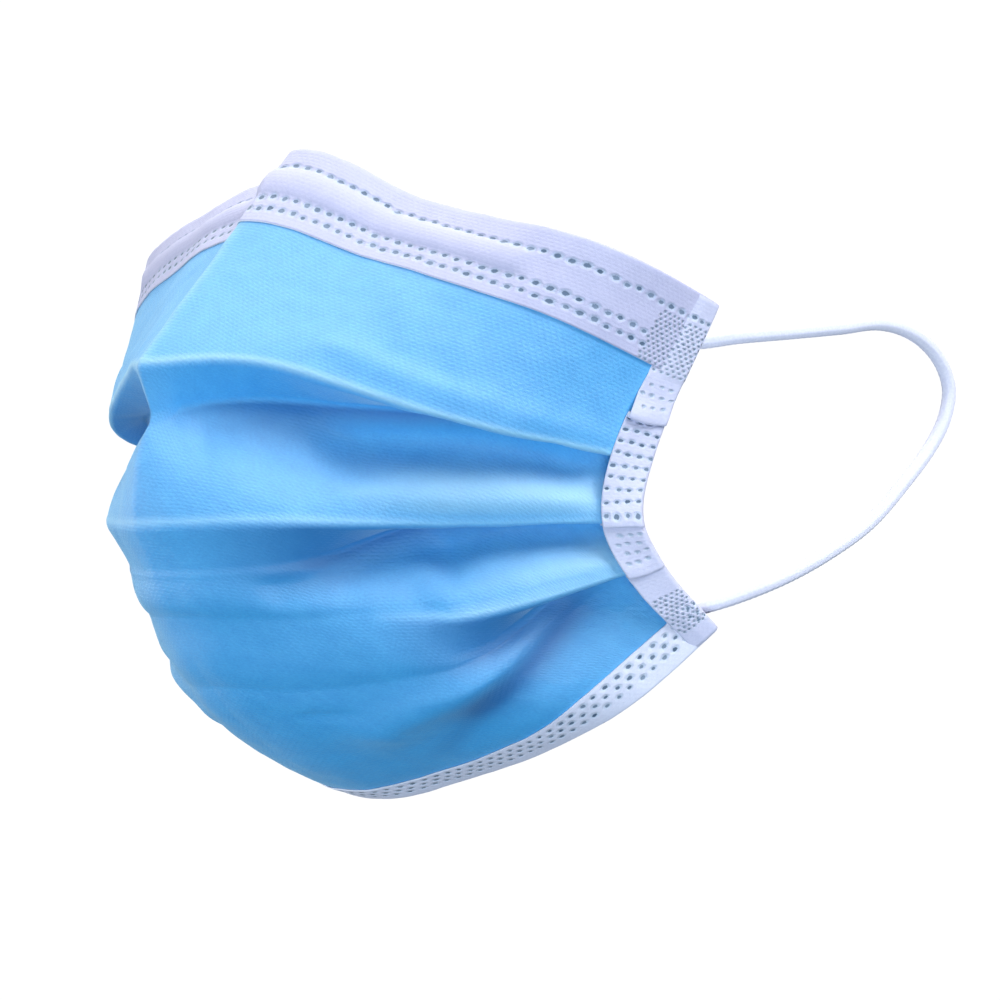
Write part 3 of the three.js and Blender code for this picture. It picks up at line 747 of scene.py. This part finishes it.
def add_welds(cloth, grids):
    """Marks a cloth material with grids of weld dots, each row of values in millimetres."""
    tree = cloth["tree"]
    dot = dent = None
    for values in grids:
        grid = add_node(tree, "ShaderNodeGroup", node_tree=weld_grid)
        tree.links.new(cloth["place"], grid.inputs["Place"])
        for name, value in zip(WELD_VALUES, values):
            grid.inputs[name].default_value = value
        new_dot, new_dent = grid.outputs["Dot"], grid.outputs["Dent"]
        dot = new_dot if dot is None else arithmetic(tree, "MAXIMUM", dot, new_dot)
        dent = new_dent if dent is None else arithmetic(tree, "MAXIMUM", dent, new_dent)
    tinged = mixed(tree, arithmetic(tree, "MULTIPLY", dent, DENT_SHARE), cloth["tone"], DENT_TONE)
    tree.links.new(mixed(tree, dot, tinged, WELD_DOT_AND_SHADE_TONE), cloth["shader"].inputs["Base Color"])
    add_bump(tree, cloth["shader"], dent, 0.9, 0.3 * MM, invert=True)


HEM_PITCH = 2.6
EVERYWHERE = 200
# Each row has the WELD_VALUES of one grid, in millimetres
add_welds(hem_cloth, [
    (HEM_PITCH, 4.0, 0, -2.3, 0, 1.2, 0.75, -EVERYWHERE, EVERYWHERE, 3.6, 5.0, 1.0),
    (HEM_PITCH, 2.2, 0, -9.2, 0.5, 1.15, 0.75, -83.5, 83.5, 9.2, 13.6, 1.0),
    (1.15, 0.75, 0, 0, 0.5, 0.42, 0.34, 83.0, EVERYWHERE, 5.6, 15.2, 0.75),
    (1.15, 0.75, 0, 0, 0.5, 0.42, 0.34, -EVERYWHERE, -83.0, 5.6, 15.2, 0.75),
])
hem_inside = cloth_material("hem_inside", (0.86, 0.87, 0.93), (0.78, 0.79, 0.88))


def strip_uv(grid, downs):
    """Place on a strip in tenths of a metre: along from the middle, and each row's own way down."""
    flat = cloth_uv(grid)
    flat[:, :, 1] = np.array(downs) * UV_PER_METRE
    return flat


top_downs = ([-length for length, _, _ in top_profile[:TURN_ROWS]] + [0] * BEND_ROWS
             + [length for length, _, _ in top_profile[TURN_ROWS + BEND_ROWS:]])
top_hem = cloth_object("hem_top", top_grid + grid_normals(top_grid) * HEM_CLOTH / 2,
                       strip_uv(top_grid, top_downs), HEM_CLOTH,
                       hem_cloth["material"], hem_inside["material"])
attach(top_hem, "root")
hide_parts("top_hem")


# Bottom hem: a white strip of the same cloth, narrower, folded under the chin edge with three rows of
# welds. It is folded and welded as the top one is, with no wire.
BOTTOM_HEM = 7 * MM
BOTTOM_ROWS = 28
# Painted light: though it is the same cloth as the top hem, the chin hem is given a paler tone, which
# lifts it where it faces down into shade
chin_hem_cloth = cloth_material("white_chin_hem", (0.76, 0.80, 0.98), (0.69, 0.74, 0.94))
add_welds(chin_hem_cloth, [
    (HEM_PITCH, 1.55, 0, -0.55, 0.5, 0.9, 0.6, -EVERYWHERE, EVERYWHERE, 0.5, 5.2, 1.0),
])
bottom_profile = [(BOTTOM_HEM * f, HEM_OFFSET, 0) for f in np.linspace(1, 0.03, BOTTOM_ROWS)]
bottom_profile += turned_back[::-1]
bottom_grid = strip_grid(hem_stations, bottom_profile, from_bottom=True)
bottom_hem = cloth_object("hem_bottom", bottom_grid + grid_normals(bottom_grid) * HEM_CLOTH / 2,
                          cloth_uv(bottom_grid), HEM_CLOTH,
                          chin_hem_cloth["material"], hem_inside["material"])
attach(bottom_hem, "root")
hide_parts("bottom_hem")


# Nose wire: a flat wire in a soft white plastic coat, sealed in the top hem's channel between the strip
# and the panel. Pinching it shapes the mask to the nose.
WIRE_WIDTH = 2.6 * MM
WIRE_THICKNESS = 0.4 * MM
WIRE_HEIGHT = 0.72 * MM
wire_material, wire_shader, wire_tree = principled("plastic_coated_wire", (0.85, 0.85, 0.88), 0.45)
wire_place = add_node(wire_tree, "ShaderNodeTexCoord").outputs["Object"]
wire_grain = add_node(wire_tree, "ShaderNodeTexNoise", {"Vector": wire_place, "Scale": 900.0})
add_bump(wire_tree, wire_shader, wire_grain.outputs["Fac"], 0.2, 0.05 * MM)
wire_profile = [(WIRE_DROP + f * WIRE_WIDTH / 2, WIRE_HEIGHT, 0) for f in np.linspace(-1, 1, 5)]
wire_grid = strip_grid(np.linspace(-WIRE_END, WIRE_END, 121), wire_profile)
wire = cloth_object("coated_wire", wire_grid, cloth_uv(wire_grid), WIRE_THICKNESS,
                    wire_material, wire_material)
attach(wire, "root")
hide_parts("nose_wire")


# Side bindings: white strips folded round the side edges over the closed pleats and welded through.
# Where the sides bend, the strip buckles into small folds.
BINDING = 5.8 * MM
BINDING_STAND_OFF = 0.45 * MM
BINDING_COLUMNS = 22
BINDING_STEP = 0.5 * MM
COVER_STEPS = 30
TURN_STEPS = 8
BACK_EVERY = 3
binding_cloth = cloth_material("white_binding", (0.62, 0.65, 0.86), (0.55, 0.59, 0.82))
add_welds(binding_cloth, [
    (1.15, 0.75, 0, 0, 0.5, 0.42, 0.34, 0.2, 6.5, 5.4, 15.4, 0.75),
    (1.6, 4.0, 0, -2.3, 0, 0.9, 0.62, 0, 6.5, 3.6, 5.0, 1.0),
    (1.65, 1.9, 0.2, 0, 0.5, 0.5, 0.4, 0.4, 5.6, 16.2, 22.4, 0.35),
    (1.65, 2.1, 0.1, -0.6, 0.06, 0.75, 0.55, 0, 6.4, 24.0, 41.6, 1.0),
    (1.65, 1.7, 0.3, 0, 0.5, 0.6, 0.45, 1.0, 6.2, 43.6, 51.4, 0.3),
    (1.1, 0.8, 0, 0, 0.5, 0.42, 0.34, 0.3, 6.6, 58.2, 67.4, 0.75),
    (1.7, 1.6, 0.4, 0, 0.5, 0.65, 0.5, 3.2, 6.8, 62.5, 67.0, 1.0),
])
# Buckles: the way down the strip (0 at the top edge, 4 at the bottom), how far the cloth above laps
# over the cloth below, how high it stands, and how much the lap bows
BUCKLES = [dict(at=0.74, lap=1.3, height=1.1, bow=-2.0), dict(at=1.98, lap=0.9, height=0.7, bow=0.4),
           dict(at=2.98, lap=-0.9, height=0.6, bow=-1.0)]
BUCKLE_STEPS = [(-3.2, 0, 0.05), (-2.2, 0, 0.25), (-1.2, 0.15, 0.62), (-0.5, 0.55, 0.93), (0.0, 0.9, 1.0),
                (0.25, 1.0, 0.86), (0.3, 0.95, 0.62), (0.25, 0.6, 0.42), (0.2, 0.2, 0.3), (0.4, 0, 0.16),
                (1.0, 0, 0.06), (1.8, 0, 0.0)]


def side_cover(side, share):
    """The smooth cover over the closed pleats at one share out: points, and their ways down in metres."""
    knots = np.array([line_points(line, np.array([side * share]))[0] for line in LINES])
    chords = np.linalg.norm(np.diff(knots, axis=0), axis=1)
    directions = np.diff(knots, axis=0) / chords[:, None]
    slopes = np.concatenate([directions[:1], unit(directions[1:] + directions[:-1]), directions[-1:]])
    fine = []
    for k in range(4):
        for u in np.linspace(0, 1, COVER_STEPS, endpoint=k == 3):
            fine.append((2 * u ** 3 - 3 * u ** 2 + 1) * knots[k]
                        + (u ** 3 - 2 * u ** 2 + u) * chords[k] * slopes[k]
                        + (3 * u ** 2 - 2 * u ** 3) * knots[k + 1]
                        + (u ** 3 - u ** 2) * chords[k] * slopes[k + 1])
    fine = np.array(fine)
    run = np.concatenate([[0], np.cumsum(np.linalg.norm(np.diff(fine, axis=0), axis=1))])
    return fine, run, run[[0, COVER_STEPS, 2 * COVER_STEPS, 3 * COVER_STEPS, -1]]


def binding_rows():
    """Each row of the strip: its way down as line and share, an extra length, its buckle, and its shares
    of that buckle's lap and height."""
    rows = [(0, -0.6 * MM, None, 0)]
    at = 0.0
    marks = [b["at"] for b in BUCKLES] + [4.0]
    spans = (31 * MM, 10.5 * MM, 8 * MM, 18 * MM)
    for k, mark in enumerate(marks):
        while at < mark - (3.6 * MM / spans[min(3, int(mark - 1e-6))] if k < 3 else 0):
            rows.append((at, 0, None, 0))
            at += BINDING_STEP / spans[min(3, int(at))]
        if k < 3:
            for step, lap, height in BUCKLE_STEPS:
                rows.append((mark, step * MM, k, (lap, height)))
            at = mark + 2.2 * MM / spans[min(3, int(mark + 1e-6))]
    rows += [(4, 0, None, 0), (4, 0.6 * MM, None, 0)]
    return rows


def binding_grid(side):
    """The strip's grid and uv: from the front's inner edge, round the side edge, to the back's."""
    across = np.linspace(0, 1, BINDING_COLUMNS)
    covers = [side_cover(side, 1 - BINDING / HALF_LENGTH * (1 - t)) for t in across]
    grid, uv = [], []
    for way, extra, buckle, share_of in binding_rows():
        line = min(3, int(way))
        points, downs = [], []
        for t, (fine, run, marks) in zip(across, covers):
            want = marks[line] + (way - line) * (marks[line + 1] - marks[line]) + extra
            if buckle is not None:
                row = BUCKLES[buckle]
                want += (share_of[0] * abs(row["lap"]) + row["bow"] * ((t - 0.45) ** 2 - 0.1)) * MM
            point = np.array([np.interp(want, run, fine[:, k]) for k in range(3)])
            ahead, before = (np.array([np.interp(place, run, fine[:, k]) for k in range(3)])
                             for place in (want + BINDING_STEP, want - BINDING_STEP))
            down = unit(ahead - before)
            point += down * (min(0, want) + max(0, want - run[-1]))
            points.append(point)
            downs.append(down)
        points, downs = np.array(points), np.array(downs)
        along = unit(np.gradient(points, axis=0)) * side
        outward = unit(np.cross(downs, along))
        middle_run, middle_marks = covers[BINDING_COLUMNS // 2][1:]
        span = middle_marks[line + 1] - middle_marks[line]
        from_top = middle_marks[line] + (way - line) * span + extra
        on_top_hem = np.clip((TOP_HEM - from_top) / MM + 1.2, 0, 1)
        on_bottom_hem = np.clip((from_top - middle_run[-1] + BOTTOM_HEM) / MM + 1.2, 0, 1)
        on_hem = max(on_top_hem, on_bottom_hem)
        risen = np.clip(across / 0.5, 0, 1)
        height = BINDING_STAND_OFF * (1 - on_hem) + on_hem * (HEM_OFFSET + (0.62 * risen - 0.22) * MM)
        if buckle is not None:
            ripple = 0.75 + 0.25 * np.sin(across * 5)
            height = height + share_of[1] * BUCKLES[buckle]["height"] * MM * ripple
        front = points + outward * height[:, None]
        last, last_out, last_along = points[-1], outward[-1], along[-1] * side
        stack = (1.0 + 2.4 * min(1, way) - 2.0 * max(0, way - 3)) * MM
        middle = last + last_out * (height[-1] - stack) / 2
        radius = (height[-1] + stack) / 2
        turn = [middle + last_out * radius * math.cos(a) + last_along * 0.9 * MM * math.sin(a)
                for a in np.linspace(0.35, math.pi - 0.35, TURN_STEPS)]
        back = points[::-1] - outward[::-1] * stack
        grid.append(np.concatenate([front, turn, back[::BACK_EVERY]]))
        strip_across = np.concatenate([across * BINDING, BINDING + np.linspace(0.4, 3.5, TURN_STEPS) * MM,
                                       BINDING + 4 * MM + across[::BACK_EVERY] * BINDING])
        uv.append(np.stack([strip_across, np.full_like(strip_across, from_top)], axis=1) * UV_PER_METRE)
    grid, uv = np.stack(grid, axis=1), np.stack(uv, axis=1)
    return (grid, uv) if side > 0 else (grid[::-1], uv[::-1])


for side_name, side in (("left", 1), ("right", -1)):
    grid, uv = binding_grid(side)
    binding = cloth_object(f"binding_{side_name}", grid + grid_normals(grid) * HEM_CLOTH / 2, uv,
                           HEM_CLOTH, binding_cloth["material"], hem_inside["material"])
    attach(binding, "root")
    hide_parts(f"side_binding_{side_name}")


# Studio: a deep round backdrop that the camera sees as white, and that is dark to the cloth. The bright
# room shows over its rim. Soft lights stand to the left, the right and behind, with weak cool fills in
# front and below; those without shine light the cloth but give it no gloss.
STUDIO_FLOOR = -1.1
BOWL_PROFILE = [(1.2, 0.0), (1.5, 0.04), (1.75, 0.14), (1.95, 0.32), (2.05, 0.6), (2.08, 1.2), (2.08, 3.1)]
BOWL_SIDES = 96
bowl_turns = [2 * math.pi * i / BOWL_SIDES for i in range(BOWL_SIDES)]
bowl_vertices = [(r * math.cos(a), r * math.sin(a), STUDIO_FLOOR + h)
                 for r, h in BOWL_PROFILE for a in bowl_turns]
bowl_faces = [tuple(range(BOWL_SIDES))]
for ring in range(len(BOWL_PROFILE) - 1):
    for i in range(BOWL_SIDES):
        low, low_next = ring * BOWL_SIDES + i, ring * BOWL_SIDES + (i + 1) % BOWL_SIDES
        bowl_faces.append((low, low_next, low_next + BOWL_SIDES, low + BOWL_SIDES))
bowl = mesh_object("studio_bowl", bowl_vertices, bowl_faces)
bowl_material, bowl_shader, bowl_tree = principled("white_backdrop", (0.05, 0.06, 0.09), 0.9)
bowl_shader.inputs["Specular IOR Level"].default_value = 0.1
bowl_shader.inputs["Emission Color"].default_value = (1, 1, 1, 1)
BOWL_GLOW = 0.02
seen = add_node(bowl_tree, "ShaderNodeLightPath").outputs["Is Camera Ray"]
glow = arithmetic(bowl_tree, "MULTIPLY_ADD", seen, 1 - BOWL_GLOW, BOWL_GLOW)
bowl_tree.links.new(glow, bowl_shader.inputs["Emission Strength"])
bowl.data.materials.append(bowl_material)

LIGHTS = [
    dict(name="left_light", azimuth=-52, elevation=0, distance=1.3, size=0.9, power=9,
         colour=(1, 1, 1), shine=True),
    dict(name="right_light", azimuth=104, elevation=42, distance=1.1, size=0.5, power=8.5,
         colour=(1, 1, 1), shine=True),
    dict(name="back_light", azimuth=-130, elevation=40, distance=1.3, size=0.9, power=11,
         colour=(1, 1, 1), shine=False),
    dict(name="front_fill", azimuth=42, elevation=2, distance=1.4, size=1.1, power=3.5,
         colour=(0.86, 0.94, 1.0), shine=False),
    dict(name="low_fill", azimuth=45, elevation=-32, distance=1.3, size=0.9, power=13,
         colour=(0.80, 0.92, 1.0), shine=False),
]
for row in LIGHTS:
    light_data = bpy.data.lights.new(row["name"], "AREA")
    light_data.energy = row["power"]
    light_data.size = row["size"]
    light_data.color = row["colour"]
    light = bpy.data.objects.new(row["name"], light_data)
    bpy.context.scene.collection.objects.link(light)
    light.visible_glossy = row["shine"]
    azimuth, elevation = math.radians(row["azimuth"]), math.radians(row["elevation"])
    outward = Vector((math.sin(azimuth) * math.cos(elevation), -math.cos(azimuth) * math.cos(elevation),
                      math.sin(elevation)))
    middle = Vector((0, 0, -0.06))
    light.location = middle + outward * row["distance"]
    light.rotation_euler = (-outward).to_track_quat("-Z", "Y").to_euler()
world = bpy.data.worlds.new("white_room")
world.use_nodes = True
world.node_tree.nodes["Background"].inputs["Color"].default_value = (1, 1, 1, 1)
world.node_tree.nodes["Background"].inputs["Strength"].default_value = 2.0
bpy.context.scene.world = world
bpy.context.scene.view_settings.view_transform = "Standard"
